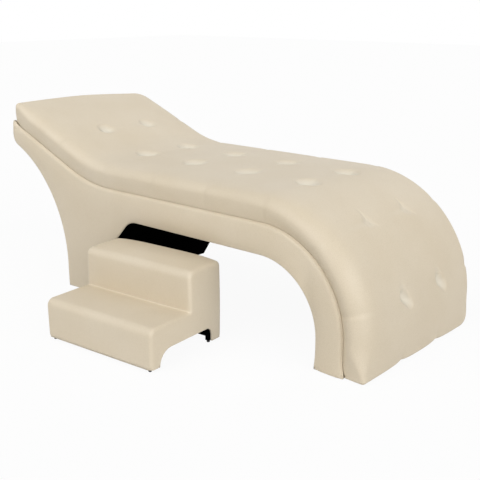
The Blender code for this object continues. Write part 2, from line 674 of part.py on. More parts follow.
# Origin: on the floor, under the middle of the whole set
bpy.context.view_layer.update()
graph = bpy.context.evaluated_depsgraph_get()
reach = []
for obj in PARTS.objects:
    if obj.type != "EMPTY":
        solid = obj.evaluated_get(graph)
        reach += [solid.matrix_world @ vert.co for vert in solid.to_mesh().vertices]
        solid.to_mesh_clear()
lowest = Vector(map(min, zip(*reach)))
highest = Vector(map(max, zip(*reach)))
SET.location = (-(lowest.x + highest.x) / 2, -(lowest.y + highest.y) / 2, -lowest.z)
print("size", [round(v, 4) for v in highest - lowest], "shift", [round(v, 4) for v in SET.location])
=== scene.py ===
"""Upholstered eyelash extension bed with its two-step stool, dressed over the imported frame.

Metres, +Z up.
"""

import math

import bmesh
import bpy
import numpy as np
from mathutils import Matrix, Vector, noise
from mathutils.geometry import delaunay_2d_cdt


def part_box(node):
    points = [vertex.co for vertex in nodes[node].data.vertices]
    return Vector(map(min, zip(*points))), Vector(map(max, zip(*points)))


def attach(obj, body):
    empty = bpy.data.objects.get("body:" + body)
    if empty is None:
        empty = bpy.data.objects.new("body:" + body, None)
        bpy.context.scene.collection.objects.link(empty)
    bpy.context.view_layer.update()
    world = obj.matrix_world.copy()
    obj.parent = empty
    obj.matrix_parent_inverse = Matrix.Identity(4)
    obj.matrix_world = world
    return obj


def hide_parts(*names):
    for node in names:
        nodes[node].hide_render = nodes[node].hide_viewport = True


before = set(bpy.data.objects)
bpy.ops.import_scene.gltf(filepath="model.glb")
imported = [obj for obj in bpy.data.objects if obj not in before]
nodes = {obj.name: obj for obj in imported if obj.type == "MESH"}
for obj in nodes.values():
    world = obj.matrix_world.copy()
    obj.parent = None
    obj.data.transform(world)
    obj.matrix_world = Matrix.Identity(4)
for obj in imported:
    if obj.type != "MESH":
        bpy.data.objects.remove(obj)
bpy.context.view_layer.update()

# Carcase: two arch-shaped sides, a bent deck and a bent back board.
# Birch plywood cut on a router, glued and screwed edge to edge; it lies hidden under the upholstery.
CARCASE = ("side_panel_near", "side_panel_far", "deck_panel", "back_board")
FIBRES_ACROSS = 90.0
FIBRES_ALONG = 3.5


def screen(red, green, blue):
    """A linear colour from one read off a screen, 0 to 255."""
    parts = [c / 255 for c in (red, green, blue)]
    return (*[p / 12.92 if p <= 0.04045 else ((p + 0.055) / 1.055) ** 2.4 for p in parts], 1)


def new_finish(name, roughness, specular):
    """An empty finish: its node tree and its shader, with the values that are the same all over."""
    material = bpy.data.materials.new(name)
    material.use_nodes = True
    shader = material.node_tree.nodes["Principled BSDF"]
    shader.inputs["Roughness"].default_value = roughness
    shader.inputs["Specular IOR Level"].default_value = specular
    return material, material.node_tree, shader


def add(tree, kind, values=(), **settings):
    """A shader node with its settings, and with values on its sockets."""
    node = tree.nodes.new(kind)
    for key, value in settings.items():
        setattr(node, key, value)
    for socket, value in dict(values).items():
        node.inputs[socket].default_value = value
    return node


def stretched(tree, scale):
    """Places on the piece itself, in metres times scale, for a texture to read."""
    place = add(tree, "ShaderNodeTexCoord")
    mapping = add(tree, "ShaderNodeMapping", {"Scale": scale})
    tree.links.new(place.outputs["Object"], mapping.inputs["Vector"])
    return mapping.outputs["Vector"]


def speckle(tree, vector, scale, detail, rough=0.5):
    """Noise of a given fineness."""
    node = add(tree, "ShaderNodeTexNoise", {"Scale": scale, "Detail": detail, "Roughness": rough})
    tree.links.new(vector, node.inputs["Vector"])
    return node.outputs["Fac"]


def tones(tree, value, stops):
    """Colours laid over a value: a list of (position, colour)."""
    ramp = add(tree, "ShaderNodeValToRGB")
    marks = ramp.color_ramp.elements
    while len(marks) < len(stops):
        marks.new(0.5)
    for mark, (position, colour) in zip(marks, stops):
        mark.position = position
        mark.color = colour
    tree.links.new(value, ramp.inputs["Fac"])
    return ramp.outputs["Color"]


def between(tree, value, low, high):
    """A value spread evenly between two others."""
    node = add(tree, "ShaderNodeMapRange", {"To Min": low, "To Max": high})
    tree.links.new(value, node.inputs["Value"])
    return node.outputs["Result"]


def relief(tree, shader, height, depth, strength, below=None):
    """Fine relief on a finish, of a depth in metres."""
    bump = add(tree, "ShaderNodeBump", {"Strength": strength, "Distance": depth})
    tree.links.new(height, bump.inputs["Height"])
    if below is not None:
        tree.links.new(below, bump.inputs["Normal"])
    tree.links.new(bump.outputs["Normal"], shader.inputs["Normal"])
    return bump.outputs["Normal"]


def wood(name, pale, middle, dark, along, roughness):
    """Sawn wood: long fibres along one axis, with darker bands between them."""
    material, tree, shader = new_finish(name, roughness, specular=0.3)
    scale = [FIBRES_ACROSS] * 3
    scale[along] = FIBRES_ALONG
    fibre = speckle(tree, stretched(tree, scale), scale=1.0, detail=6)
    colour = tones(tree, fibre, [(0.32, dark), (0.5, middle), (0.72, pale)])
    tree.links.new(colour, shader.inputs["Base Color"])
    tree.links.new(between(tree, fibre, roughness + 0.1, roughness - 0.1), shader.inputs["Roughness"])
    relief(tree, shader, fibre, depth=0.0004, strength=0.5)
    return material


def clad(names, material):
    """Gives CAD nodes their finish."""
    for name in names:
        data = nodes[name].data
        data.materials.clear()
        data.materials.append(material)


birch = wood(
    "birch_plywood",
    pale=screen(216, 190, 148),
    middle=screen(205, 176, 132),
    dark=screen(184, 150, 104),
    along=0,
    roughness=0.62,
)
clad(CARCASE, birch)

# Rails and soles: planed pine battens across the carcase, and the two boards that close its feet.
# Each is screwed through the sides, and the soles take the glides.
RAILS = (
    "head_rail",
    "neck_rail",
    "shoulder_rail",
    "seat_rail_head",
    "seat_rail_mid",
    "seat_rail_foot",
    "knee_rail",
    "back_rail_lower",
    "back_rail_upper",
    "leg_rail",
    "leg_sole",
    "foot_sole",
)
pine = wood(
    "pine_timber",
    pale=screen(226, 200, 152),
    middle=screen(214, 182, 128),
    dark=screen(188, 146, 92),
    along=1,
    roughness=0.66,
)
clad(RAILS, pine)

# Arch lining: thin hardboard with a black face, bent to the inside of the arch.
# It is tacked over the inner edges of the sides, and closes the base from leg to foot.
black_board, tree, shader = new_finish("black_faced_hardboard", roughness=0.92, specular=0.0)
pressed = speckle(tree, stretched(tree, (1, 1, 1)), scale=420.0, detail=4)
colour = tones(tree, pressed, [(0.3, screen(2, 2, 2)), (0.7, screen(5, 5, 5))])
tree.links.new(colour, shader.inputs["Base Color"])
relief(tree, shader, pressed, depth=0.0003, strength=0.4)
clad(["arch_lining"], black_board)

# Glides: low black nylon feet, nailed on under the two soles of the bed and under the stool's sides.
# They are moulded, with a finely speckled satin skin.
GLIDES = [name for name in nodes if "glide" in name]
nylon, tree, shader = new_finish("black_nylon", roughness=0.5, specular=0.3)
skin = speckle(tree, stretched(tree, (1, 1, 1)), scale=900.0, detail=3)
colour = tones(tree, skin, [(0.3, screen(9, 9, 9)), (0.75, screen(20, 20, 21))])
tree.links.new(colour, shader.inputs["Base Color"])
tree.links.new(between(tree, skin, 0.4, 0.6), shader.inputs["Roughness"])
relief(tree, shader, skin, depth=0.0002, strength=0.3)
clad(GLIDES, nylon)

# Side pads: foam glued on the outside of each plywood side, under cream synthetic leather.
# The leather is pulled over the edges and stapled behind them. The face is full in the middle
# and rolls over at the deck, at the sweep behind the leg and at the arch.
SEAT_LENGTH = 0.766
KNEE_RADIUS = 0.348
HEAD_SLOPE = math.radians(22.5)
SIDE_PAD_LEAN = 0.003
SIDE_PAD_SWELL = 0.005
SIDE_PAD_PRESSURE = 4.0
SWELL_FRAMES = 14
SIDE_PAD_MESH = 0.0125
SWEEP_REACH = 0.36
DECK_LINE_DROP = 0.012
ARCH_RIM = 0.0118
DECK_RIM = 0.0100
SWEEP_RIM = 0.0190
DECK_ROLL = 0.018
DECK_SLOPE = 0.0025
SLOPE_WIDTH = 0.070
SWEEP_ROLL = 0.012
ARCH_ROLL = 0.050
FLOOR_ROLL = 0.006
EDGE_BLEND = 6
LINING_COVER = 0.0052
DECK_FALL = 0.0106
FALL_REACH = 0.03
TUCK_FALL = 0.0034
DECK_COVE = 0.0034
COVE_STEPS = (0.3, 1.0)
DECK_TURN_IN = (0.0086, 0.0072, 0.0070, 0.0)
LINING_TURN_IN = (0.0110, 0.0107, 0.0104, 0.0)
LINING_LEG_END = 0.05
SWEEP_COVER = 0.003
FLOOR_COVER = 0.0021
JAMB_COVER = 0.0035
JAMB_REACH = 0.08
PAD_RINGS = (0.0012, 0.0032, 0.006, 0.0095, 0.0135, 0.019, 0.026)
RING_CLEAR = 0.97
FIELD_CLEAR = 0.55
TRIANGLE_HEIGHT = 0.866
SHARP_TURN = math.radians(30)
AT_EDGE = 0.001
SAME_PLANE = 2e-4
SAME_POINT = 1e-5
BATCH = 2000


def cover_finish(name):
    """Synthetic leather: a fine pebbled grain pressed into a satin skin, a little uneven in tone, with
    a painted highlight in the tuft hollows.
    """
    material, tree, shader = new_finish(name, roughness=0.45, specular=0.5)
    vector = stretched(tree, (1, 1, 1))
    cloud = speckle(tree, vector, scale=5.0, detail=3)
    pores = speckle(tree, vector, scale=650.0, detail=4, rough=0.6)
    pebble = add(tree, "ShaderNodeTexVoronoi", {"Scale": 560.0, "Smoothness": 0.6}, feature="SMOOTH_F1")
    tree.links.new(vector, pebble.inputs["Vector"])
    grain = pebble.outputs["Distance"]
    broad = tones(tree, cloud, [(0.3, screen(212, 199, 176)), (0.7, screen(216, 204, 183))])
    fine = tones(tree, grain, [(0.1, screen(255, 255, 255)), (0.75, screen(243, 241, 237))])
    colour = add(tree, "ShaderNodeMix", {"Factor": 1.0}, data_type="RGBA", blend_type="MULTIPLY")
    tree.links.new(broad, colour.inputs["A"])
    tree.links.new(fine, colour.inputs["B"])
    # Painted highlight: in each tuft hollow the colour turns paler and whiter, standing in for the
    # sheen of the light there.
    pull = add(tree, "ShaderNodeAttribute", attribute_name="pull")
    painted_sheen = add(tree, "ShaderNodeMix", {"B": screen(215, 207, 190)}, data_type="RGBA")
    tree.links.new(pull.outputs["Fac"], painted_sheen.inputs["Factor"])
    tree.links.new(colour.outputs["Result"], painted_sheen.inputs["A"])
    tree.links.new(painted_sheen.outputs["Result"], shader.inputs["Base Color"])
    tree.links.new(between(tree, pores, 0.38, 0.52), shader.inputs["Roughness"])
    pressed = relief(tree, shader, grain, depth=-0.00025, strength=0.6)
    relief(tree, shader, pores, depth=0.0001, strength=0.4, below=pressed)
    return material


cream = cover_finish("cream_synthetic_leather")


def node_outline(name, axis, at_high):
    """The edge of a node's flat face across an axis, as a loop of points in that plane."""
    solid = bmesh.new()
    solid.from_mesh(nodes[name].data)
    bmesh.ops.remove_doubles(solid, verts=solid.verts, dist=SAME_POINT)
    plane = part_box(name)[1 if at_high else 0][axis]
    flat = {f for f in solid.faces if all(abs(v.co[axis] - plane) < SAME_PLANE for v in f.verts)}
    rim = [e for e in solid.edges if len(flat.intersection(e.link_faces)) == 1]
    beside = {}
    for edge in rim:
        for one, other in (edge.verts, reversed(edge.verts)):
            beside.setdefault(one.index, []).append(other)
    keep = [i for i in range(3) if i != axis]
    first = rim[0].verts[0]
    loop = [first]
    before = None
    while True:
        onward = [v for v in beside[loop[-1].index] if v is not before]
        before = loop[-1]
        if onward[0] is first:
            break
        loop.append(onward[0])
    points = np.array([[v.co[keep[0]], v.co[keep[1]]] for v in loop])
    solid.free()
    area = np.sum(points[:, 0] * np.roll(points[:, 1], -1) - points[:, 1] * np.roll(points[:, 0], -1))
    return points if area > 0 else points[::-1]


def smooth_loop(points, step):
    """The loop drawn through its points in curves, with its sharp corners kept."""
    after = np.roll(points, -1, 0) - points
    before = points - np.roll(points, 1, 0)
    length = np.linalg.norm(after, axis=1)
    ahead = after / length[:, None]
    behind = before / np.linalg.norm(before, axis=1)[:, None]
    sharp = np.sum(ahead * behind, 1) < math.cos(SHARP_TURN)
    middle = after + before
    middle /= np.linalg.norm(middle, axis=1)[:, None]
    drawn = []
    corners = []
    for i in range(len(points)):
        j = (i + 1) % len(points)
        leave = (ahead[i] if sharp[i] else middle[i]) * length[i]
        arrive = (ahead[i] if sharp[j] else middle[j]) * length[i]
        count = max(1, round(length[i] / step))
        if sharp[i]:
            corners.append(len(drawn))
        for k in range(count):
            t = k / count
            first = (2 * t**3 - 3 * t**2 + 1) * points[i] + (t**3 - 2 * t**2 + t) * leave
            drawn.append(first + (3 * t**2 - 2 * t**3) * points[j] + (t**3 - t**2) * arrive)
    return np.array(drawn), corners


def nearest_edge(points, starts, ends):
    """How far each point lies from the nearest of a set of edges, and which edge that is."""
    along = ends - starts
    square = np.maximum(np.sum(along**2, 1), 1e-12)
    nearest = np.full(len(points), 1e9)
    which = np.zeros(len(points), int)
    for low in range(0, len(points), BATCH):
        part = points[low : low + BATCH]
        offset = part[:, None, :] - starts[None]
        share = np.clip(np.sum(offset * along[None], 2) / square, 0, 1)
        gap = np.linalg.norm(offset - share[..., None] * along[None], axis=2)
        nearest[low : low + BATCH] = gap.min(1)
        which[low : low + BATCH] = gap.argmin(1)
    return nearest, which


def edge_distance(points, starts, ends):
    """How far each point lies from the nearest of a set of edges."""
    return nearest_edge(points, starts, ends)[0]


def way_in(loop):
    """The way inwards at each point of a loop that runs anticlockwise."""
    course = np.roll(loop, -1, 0) - np.roll(loop, 1, 0)
    course /= np.linalg.norm(course, axis=1)[:, None]
    return np.column_stack([-course[:, 1], course[:, 0]])


def blended(values):
    """Values along a loop, each evened out a few times with those beside it."""
    for turn in range(EDGE_BLEND):
        values = (np.roll(values, 1) + values + np.roll(values, -1)) / 3
    return values


def inside(points, loop):
    """Which points lie inside a loop."""
    result = np.zeros(len(points), bool)
    for (x1, y1), (x2, y2) in zip(loop, np.roll(loop, -1, 0)):
        crosses = (y1 > points[:, 1]) != (y2 > points[:, 1])
        where = x1 + (points[:, 1] - y1) * (x2 - x1) / (y2 - y1 if y2 != y1 else 1e-12)
        result ^= crosses & (points[:, 0] < where)
    return result


def face_net(loop, corners, spacing, rings):
    """Points and triangles that fill a loop: rings of points along its edge, an even field inside.

    The loop's own points come first.
    """
    ends = np.roll(loop, -1, 0)
    inward = way_in(loop)
    reach = np.ones(len(loop))
    for i in corners:
        one = loop[i] - loop[i - 1]
        two = loop[(i + 1) % len(loop)] - loop[i]
        turn = one[0] * two[1] - one[1] * two[0]
        angle = math.acos(np.dot(one, two) / (np.linalg.norm(one) * np.linalg.norm(two)))
        reach[i] = 1 / math.cos(angle / 2) if turn > 0 else 1
    field = []
    for ring in rings:
        near = loop + inward * (ring * reach)[:, None]
        gap = edge_distance(near, loop, ends)
        good = inside(near, loop) & (gap > ring * RING_CLEAR)
        field.append(near[good])
    low = loop.min(0)
    high = loop.max(0)
    rows = np.arange(low[1], high[1], spacing * TRIANGLE_HEIGHT)
    grid = []
    for n, row in enumerate(rows):
        columns = np.arange(low[0] + spacing / 2 * (n % 2), high[0], spacing)
        grid.append(np.column_stack([columns, np.full(len(columns), row)]))
    grid = np.concatenate(grid)
    grid = grid[inside(grid, loop)]
    grid = grid[edge_distance(grid, loop, ends) > rings[-1] + spacing * FIELD_CLEAR]
    points = np.concatenate([loop, *field, grid])
    count = len(loop)
    edges = [(i, (i + 1) % count) for i in range(count)]
    made = delaunay_2d_cdt([Vector(p) for p in points], edges, [], 1, 1e-7)
    return np.array([tuple(p) for p in made[0]]), [list(f) for f in made[2]]


def roll_fall(gap, reach, depth):
    """How far a rolled edge has fallen at a distance from the edge."""
    into = np.clip(1 - gap / reach, 0, 1)
    return depth * (1 - np.sqrt(1 - into**2))


def sewn(name, points, faces, merge=0):
    """A soft piece in the cream leather from points and faces; points nearer than merge become one."""
    mesh = bpy.data.meshes.new(name)
    mesh.from_pydata([tuple(p) for p in points], [], faces)
    work = bmesh.new()
    work.from_mesh(mesh)
    if merge:
        bmesh.ops.remove_doubles(work, verts=work.verts, dist=merge)
    bmesh.ops.recalc_face_normals(work, faces=work.faces)
    work.to_mesh(mesh)
    work.free()
    mesh.shade_smooth()
    mesh.materials.append(cream)
    piece = bpy.data.objects.new(name, mesh)
    bpy.context.scene.collection.objects.link(piece)
    return piece


def swell(piece, held, pressure, most):
    """Fills the piece out under its cover by cloth pressure.

    Held points stay, and none moves by more than most. The foam behind the cover
    holds it, so no point moves inwards.
    """
    group = piece.vertex_groups.new(name="held")
    group.add([int(i) for i in held], 1.0, "REPLACE")
    cloth = piece.modifiers.new("cover", "CLOTH")
    cloth.settings.quality = 4
    cloth.settings.mass = 0.3
    cloth.settings.tension_stiffness = 15
    cloth.settings.compression_stiffness = 15
    cloth.settings.bending_stiffness = 2
    cloth.settings.vertex_group_mass = "held"
    cloth.settings.use_pressure = True
    cloth.settings.uniform_pressure_force = pressure
    cloth.settings.effector_weights.gravity = 0
    cloth.collision_settings.use_collision = False
    cloth.point_cache.frame_end = SWELL_FRAMES
    for moment in range(1, SWELL_FRAMES + 1):
        bpy.context.scene.frame_set(moment)
    graph = bpy.context.evaluated_depsgraph_get()
    blown = piece.evaluated_get(graph).to_mesh()
    count = len(piece.data.vertices) * 3
    start = np.zeros(count)
    end = np.zeros(count)
    out = np.zeros(count)
    piece.data.vertices.foreach_get("co", start)
    piece.data.vertices.foreach_get("normal", out)
    blown.vertices.foreach_get("co", end)
    move = (end - start).reshape(-1, 3)
    out = out.reshape(-1, 3)
    move -= out * np.minimum(np.sum(move * out, 1), 0)[:, None]
    far = np.linalg.norm(move, axis=1)
    # Points slow down softly as they come near the most that they may move.
    move *= (most * np.tanh(far / most / 2) / np.maximum(far, 1e-9))[:, None]
    print(piece.name, "swells by", round(far.max() * 1000, 1), "mm, kept to", round(most * 1000, 1))
    piece.modifiers.remove(cloth)
    piece.vertex_groups.remove(group)
    piece.data.vertices.foreach_set("co", (start.reshape(-1, 3) + move).ravel())
    piece.data.update()
    bpy.context.scene.frame_set(1)


seat_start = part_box("side_pad_near")[1].x - SEAT_LENGTH - KNEE_RADIUS
for side, outward in (("near", -1), ("far", 1)):
    node = "side_pad_" + side
    low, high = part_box(node)
    inner = high.y if outward < 0 else low.y
    thick = high.y - low.y - SIDE_PAD_LEAN
    edge, corners = smooth_loop(node_outline(node, 1, outward < 0), SIDE_PAD_MESH)
    lining = node_outline("arch_lining", 1, True)
    arch = edge_distance(edge, lining, np.roll(lining, -1, 0)) < AT_EDGE
    # Near the tip, what lies under the line of the sloping head belongs to the sweep.
    deck_line = high.z - DECK_LINE_DROP - (edge[:, 0] - low.x) * math.tan(HEAD_SLOPE)
    sweep = ~arch & (edge[:, 0] < low.x + SWEEP_REACH) & (edge[:, 1] < deck_line)
    floor_edge = edge[:, 1] < low.z + AT_EDGE
    at_deck = ~(arch | sweep | floor_edge)
    roll = np.where(arch, ARCH_ROLL, np.where(sweep, SWEEP_ROLL, DECK_ROLL))
    roll = blended(np.where(floor_edge, FLOOR_ROLL, roll))
    rims = np.where(arch, ARCH_RIM, np.where(sweep | floor_edge, SWEEP_RIM, DECK_RIM))
    rims = blended(rims)
    outside = -way_in(edge)
    for i in np.nonzero(arch & floor_edge)[0]:
        outside[i] = (math.copysign(1, outside[i - 1][0] + outside[(i + 1) % len(edge)][0]), 0)
    # Along the arch the cover reaches down over the cut edge of the lining, most beside the foot.
    from_leg = np.clip((edge[:, 0] - seat_start) / LINING_LEG_END, 0, 1)
    over = from_leg * arch * LINING_COVER + blended(sweep * SWEEP_COVER)
    from_floor = np.clip((edge[:, 1] - low.z) / JAMB_REACH, 0, 1)
    jamb = arch & (edge[:, 0] > seat_start + SEAT_LENGTH)
    over += jamb * JAMB_COVER * (1 - from_floor) ** 2
    # At the deck it lies lower, as the mattress hangs over that edge.
    from_tip = np.clip((edge[:, 0] - low.x) / FALL_REACH, 0, 1)
    from_floor = np.clip((edge[:, 1] - low.z) / FALL_REACH, 0, 1)
    over -= at_deck * DECK_FALL * from_tip * from_floor
    loop = edge + outside * over[:, None]
    loop[:, 1] -= floor_edge * FLOOR_COVER
    # There the near side's foam is squeezed up a little; both are tucked in behind the mattress.
    deck_way = outside * (at_deck * from_tip * from_floor)[:, None]
    tucked = np.where(at_deck[:, None], loop - deck_way * TUCK_FALL, edge)
    rise = DECK_COVE if outward < 0 else 0
    lines = [loop + deck_way * rise * step for step in COVE_STEPS] + [tucked, tucked]
    flat, triangles = face_net(loop, corners, SIDE_PAD_MESH, PAD_RINGS)
    gap, which = nearest_edge(flat, loop, np.roll(loop, -1, 0))
    slope = DECK_SLOPE * at_deck[which] * (1 - np.clip(gap / SLOPE_WIDTH, 0, 1)) ** 2
    fall = roll_fall(gap, roll[which], thick - DECK_SLOPE * at_deck[which] - rims[which])
    depth = thick - slope - fall
    rows = [np.column_stack([flat[:, 0], inner + outward * depth, flat[:, 1]])]
    for line, beside_deck, beside_lining in zip(lines, DECK_TURN_IN, LINING_TURN_IN):
        place = inner + outward * np.where(at_deck, beside_deck, beside_lining)
        rows.append(np.column_stack([line[:, 0], place, line[:, 1]]))
    rim = len(loop)
    count = len(flat)
    starts = [0] + [count + rim * k for k in range(len(lines))]
    wall = []
    for top, bottom in zip(starts, starts[1:]):
        for i in range(rim):
            j = (i + 1) % rim
            wall.append((top + i, top + j, bottom + j, bottom + i))
    back = [[starts[-1] + i for i in range(rim)]]
    pad = sewn("side_cover_" + side, np.concatenate(rows), triangles + wall + back)
    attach(pad, "bed")
    held = list(np.nonzero(gap < SAME_POINT)[0]) + list(range(count, count + len(lines) * rim))
    swell(pad, held, SIDE_PAD_PRESSURE, SIDE_PAD_SWELL)
    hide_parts(node)

# Back pad: a foam strip glued to the back board, between the two sides.
# It runs from the floor up the back of the leg and the sweep to the tip. The same leather is pulled
# over it and tucked into the seam beside each side pad.
BACK_PAD_MESH = 0.014
BACK_PAD_TUCK = 0.007
BACK_PAD_ROLL = 0.016
BACK_PAD_TURNS = 6
BACK_PAD_FOOT = 0.01

low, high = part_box("back_pad")
loop, corners = smooth_loop(node_outline("back_pad", 1, True), BACK_PAD_MESH)
middle = (low.y + high.y) / 2
half = (high.y - low.y) / 2
turns = range(BACK_PAD_TURNS + 1)
insets = [BACK_PAD_ROLL * (1 - math.cos(math.pi / 2 * k / BACK_PAD_TURNS)) for k in turns]
flat_width = 2 * half - 2 * BACK_PAD_ROLL
flat_count = round(flat_width / BACK_PAD_MESH)
across = [-half + i for i in insets]
across += [-half + BACK_PAD_ROLL + flat_width * k / flat_count for k in range(1, flat_count)]
across += [half - i for i in reversed(insets)]
low_corners = [i for i in corners if loop[i][1] < low.z + BACK_PAD_FOOT]
lowest_corner = min(low_corners, key=lambda i: loop[i][0])
tip_corner = min(corners, key=lambda i: loop[i][0] - loop[i][1])
count = len(loop)
inward = way_in(loop)
shown = np.zeros(count)
i = tip_corner
while i != lowest_corner:
    shown[i] = 1
    i = (i + 1) % count
points = []
for y in across:
    tuck = BACK_PAD_TUCK * roll_fall(np.array([half - abs(y)]), BACK_PAD_ROLL, 1)[0]
    ring = loop + inward * (shown * tuck)[:, None]
    points += [(p[0], middle + y, p[1]) for p in ring]
faces = []
for k in range(len(across) - 1):
    for i in range(count):
        j = (i + 1) % count
        faces.append((k * count + i, k * count + j, (k + 1) * count + j, (k + 1) * count + i))
faces += [list(range(count)), [(len(across) - 1) * count + i for i in range(count)]]
back = sewn("back_cover", points, faces)
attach(back, "bed")
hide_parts("back_pad")

# Mattress: one long foam cushion under the same leather, glued along the deck from head to floor.
# Fourteen blind tufts pull it down in two columns; pleats run from them over its sides and its foot.
# Its corners, shoulders, side slopes and lips come in pairs: the near side's and the far side's.
DECK_HEIGHT = 0.465
HEAD_REACH = 0.603
HEAD_CUT = 0.220
NECK_RADIUS = 0.614
THICKNESS = 0.086
FOOT_THICKNESS = 0.080
FLOOR_GAP = 0.001
DECK_GAP = 0.0006
HEAD_CORNER = (0.018, 0.060)
FOOT_CORNER = (0.012, 0.050)
BASE_CORNER = 0.010
HEAD_PULL = 0.025
HEAD_PULL_REACH = 0.3
HEAD_PULL_EDGE = -0.05
SIDE_INSET = 0.006
SIDE_SHIFT = 0.004
SHOULDER = (0.038, 0.018)
SHOULDER_RISE = (0.028, 0.014)
HEAD_SHOULDER = (0.046, 0.036)
KNEE_SHOULDER = (0.064, 0.029)
KNEE_SHOULDER_RISE = (0.042, 0.024)
NECK_BLEND = 0.1
KNEE_BLEND = (0.12, 0.25)
SIDE_SLOPE = (0.011, 0.001)
SLOPE_REACH = 0.110
KNEE_BULGE = 0.008
BULGE_START = 0.15
BULGE_MIDDLE = 0.15
BULGE_END = 0.1
END_SHOULDER = 0.022
FOOT_EDGE = 0.014
END_REACH = 0.120
DRAW_IN = 0.0085
END_DRAW_IN = 0.002
CROWN = 0.010
CROWN_POWER = 2.2
HEAD_CROWN = 0.6
LIP = (0.0125, 0.0095)
LIP_INSIDE = 0.3352
LIP_START = (0.006, 0.012)
LIP_GROWTH = 0.03
LIP_POWER = 1.6
EDGE_DROP = 0.001
MATTRESS_MESH = 0.012
TUFT_MESH = 0.005
WALL_STEPS = 8
ROLL_STEPS = 12
TUFT_ROWS = 7
TUFT_FIRST = 0.299
TUFT_SPACING = 0.272
TUFT_OFFSET = 0.1175
TUFT_SHIFT = 0.008
TUFT_NEAR = 0.060
TUFT_DEPTH = (0.013, 0.020, 0.021, 0.021, 0.020, 0.004, 0.018)
TUFT_REACH = (0.040, 0.050, 0.052, 0.052, 0.050, 0.030, 0.026)
TUFT_FAR = 0.17
TUFT_WAVER = 0.08
TUFT_PULL_WAY = math.radians(-49)
SOFT_RIM = 1.18
SHARP_RIM = 0.24
RIM_POWER = 2.1
# The tuft depth at which the painted highlight in its hollow is full.
PAINTED_SHEEN_FALL = 0.012
POCKET_REACH = 0.040
POCKET_WAY = math.radians(42)
POCKET_SPREAD = math.radians(36)
POCKET_POWER = 1.5
PLEAT_DEPTH = 0.0019
PLEAT_WIDTH = (0.022, 0.008)
PLEAT_REACH = 0.06
PLEAT_BAND = (0.09, 0.01)
PLEAT_LEVELS = (-0.1, 0.5)
LAST_PLEAT = 1.7
FOOT_PLEAT_WIDTH = 0.03
FOOT_PLEAT_REACH = 0.08
FOOT_PLEAT_DEPTH = 0.004
FOOT_PLEAT_LIFT = 0.007
FOOT_LIFT_REACH = 0.06
LUMPS = 0.0012
LUMP_SCALE = 9
LUMP_EDGE = 0.08
# Creases that leave a tuft: degrees from the way to the foot, then depth, reach and width.
FOOT_CREASES = ((180, 0.004, 0.06, 0.014),)
KNEE_CREASES = ((180, 0.0032, 0.08, 0.006), (49, 0.0032, 0.06, 0.006), (-90, 0.002, 0.16, 0.010))
SEAT_CREASES = ((85, 0.002, 0.10, 0.012), (275, 0.002, 0.10, 0.012))
SEAT_CREASE_SWING = 20
CREASE_START = 0.012
CREASE_FADE = 0.3

bed_middle = (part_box("mattress")[0].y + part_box("mattress")[1].y) / 2
half_width = (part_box("mattress")[1].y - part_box("mattress")[0].y) / 2 - SIDE_INSET
knee_z = DECK_HEIGHT - KNEE_RADIUS
slope_length = (HEAD_REACH - NECK_RADIUS * math.sin(HEAD_SLOPE)) / math.cos(HEAD_SLOPE)
neck_end = slope_length + (NECK_RADIUS - THICKNESS) * HEAD_SLOPE
seat_end = neck_end + SEAT_LENGTH
knee_length = (KNEE_RADIUS + (THICKNESS + FOOT_THICKNESS) / 2) * math.pi / 2
knee_end = seat_end + knee_length
mattress_length = knee_end + knee_z - FLOOR_GAP
half_length = mattress_length / 2


def deck_place(s):
    """Under a length along the mattress: the deck's point, the way out of it and the thickness."""
    if s < neck_end:
        angle = HEAD_SLOPE * min(1, (neck_end - s) / (neck_end - slope_length))
        rest = max(0, slope_length - s)
        x = -NECK_RADIUS * math.sin(angle) - rest * math.cos(angle)
        z = DECK_HEIGHT + NECK_RADIUS * (1 - math.cos(angle)) + rest * math.sin(angle)
        lean = angle * min(1, s / HEAD_CUT)
        return x, z, math.sin(lean), math.cos(lean), THICKNESS
    if s < seat_end:
        return s - neck_end, DECK_HEIGHT, 0, 1, THICKNESS
    part = min(1, (s - seat_end) / knee_length)
    angle = part * math.pi / 2
    x = SEAT_LENGTH + KNEE_RADIUS * math.sin(angle)
    z = knee_z + KNEE_RADIUS * math.cos(angle) - max(0, s - knee_end)
    return x, z, math.sin(angle), math.cos(angle), THICKNESS + (FOOT_THICKNESS - THICKNESS) * part


def rounded_stops(length, roll, step, fine_step, centres):
    """Places along a length, close together where its two ends roll over and beside some centres."""
    low = [roll * (1 - math.cos(math.pi / 2 * k / ROLL_STEPS)) for k in range(ROLL_STEPS)]
    marks = [roll, length - roll]
    for centre in centres:
        marks += [centre - TUFT_NEAR, centre, centre + TUFT_NEAR]
    marks = sorted(m for m in marks if roll <= m <= length - roll)
    line = list(low)
    for one, two in zip(marks, marks[1:]):
        middle = (one + two) / 2
        close = min(abs(middle - centre) for centre in centres) < TUFT_NEAR
        count = max(1, round((two - one) / (fine_step if close else step)))
        line += [one + (two - one) * k / count for k in range(count)]
    return line + [length - roll] + [length - stop for stop in reversed(low)]


def ease(value, low, high):
    """From 0 at low to 1 at high, with soft ends."""
    t = min(1, max(0, (value - low) / (high - low)))
    return t * t * (3 - 2 * t)


tuft_rows = [TUFT_FIRST + TUFT_SPACING * row for row in range(TUFT_ROWS)]
tufts = []
for row, s in enumerate(tuft_rows):
    shift = TUFT_SHIFT if row < TUFT_ROWS - 2 else 0
    tufts += [(s, shift - TUFT_OFFSET), (s, shift + TUFT_OFFSET)]


def groove(along, aside, way, reach, width):
    """A crease that leaves a tuft one way: 1 in its bed, fading over its reach and over its width."""
    on = along * math.cos(way) + aside * math.sin(way)
    off = aside * math.cos(way) - along * math.sin(way)
    if on < 0:
        return 0
    fade = 1 - ease(on, reach * CREASE_FADE, reach)
    return math.exp(-((off / width) ** 2)) * ease(on, 0, CREASE_START) * fade


